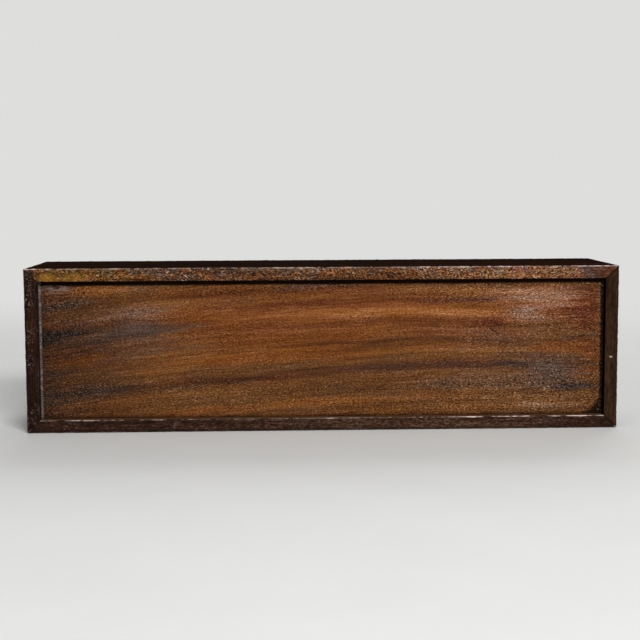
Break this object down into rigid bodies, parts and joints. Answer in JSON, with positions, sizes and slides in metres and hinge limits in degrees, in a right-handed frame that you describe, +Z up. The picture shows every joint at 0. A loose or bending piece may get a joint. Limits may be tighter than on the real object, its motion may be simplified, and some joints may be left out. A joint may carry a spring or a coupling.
{
  "type": "sliding lid box",
  "caption": "Long hardwood box with a recessed sliding lid, mitred rim and dovetailed corners, standing on a long side.",
  "frame": {"origin": "middle of the footprint, on the surface that the box stands on as pictured", "axes": "+X along the box, the way the lid slides out; -Y the way the lid's rim faces; +Z up, across the lid. Laid flat for use, the lid faces up: turned 90 degrees about X"},
  "size_m": [0.36, 0.08, 0.1],
  "materials": {
    "dark_hardwood": "satin wax on open-pored dark brown hardwood, pale wax in the pores, worn edges",
    "figured_hardwood": "satin wax on golden-brown hardwood with long darker bands and pale wax in the pores",
    "smooth_hardwood": "hand-polished olive-brown hardwood with upright grain",
    "bamboo": "bare bamboo end grain"
  },
  "bodies": {
    "box": {"top_board": "dark_hardwood", "bottom_board": "dark_hardwood", "left_end_board": "dark_hardwood", "right_end_board": "dark_hardwood", "back_panel": "dark_hardwood"},
    "lid": {"lid_board": "figured_hardwood", "lid_pull_strip": "smooth_hardwood", "lid_strip_pegs": "bamboo"}
  },
  "joints": [
    {"name": "lid_slide", "type": "slide", "parent": "box", "child": "lid", "axis": [1, 0, 0], "range_m": [0, 0.36]}
  ]
}
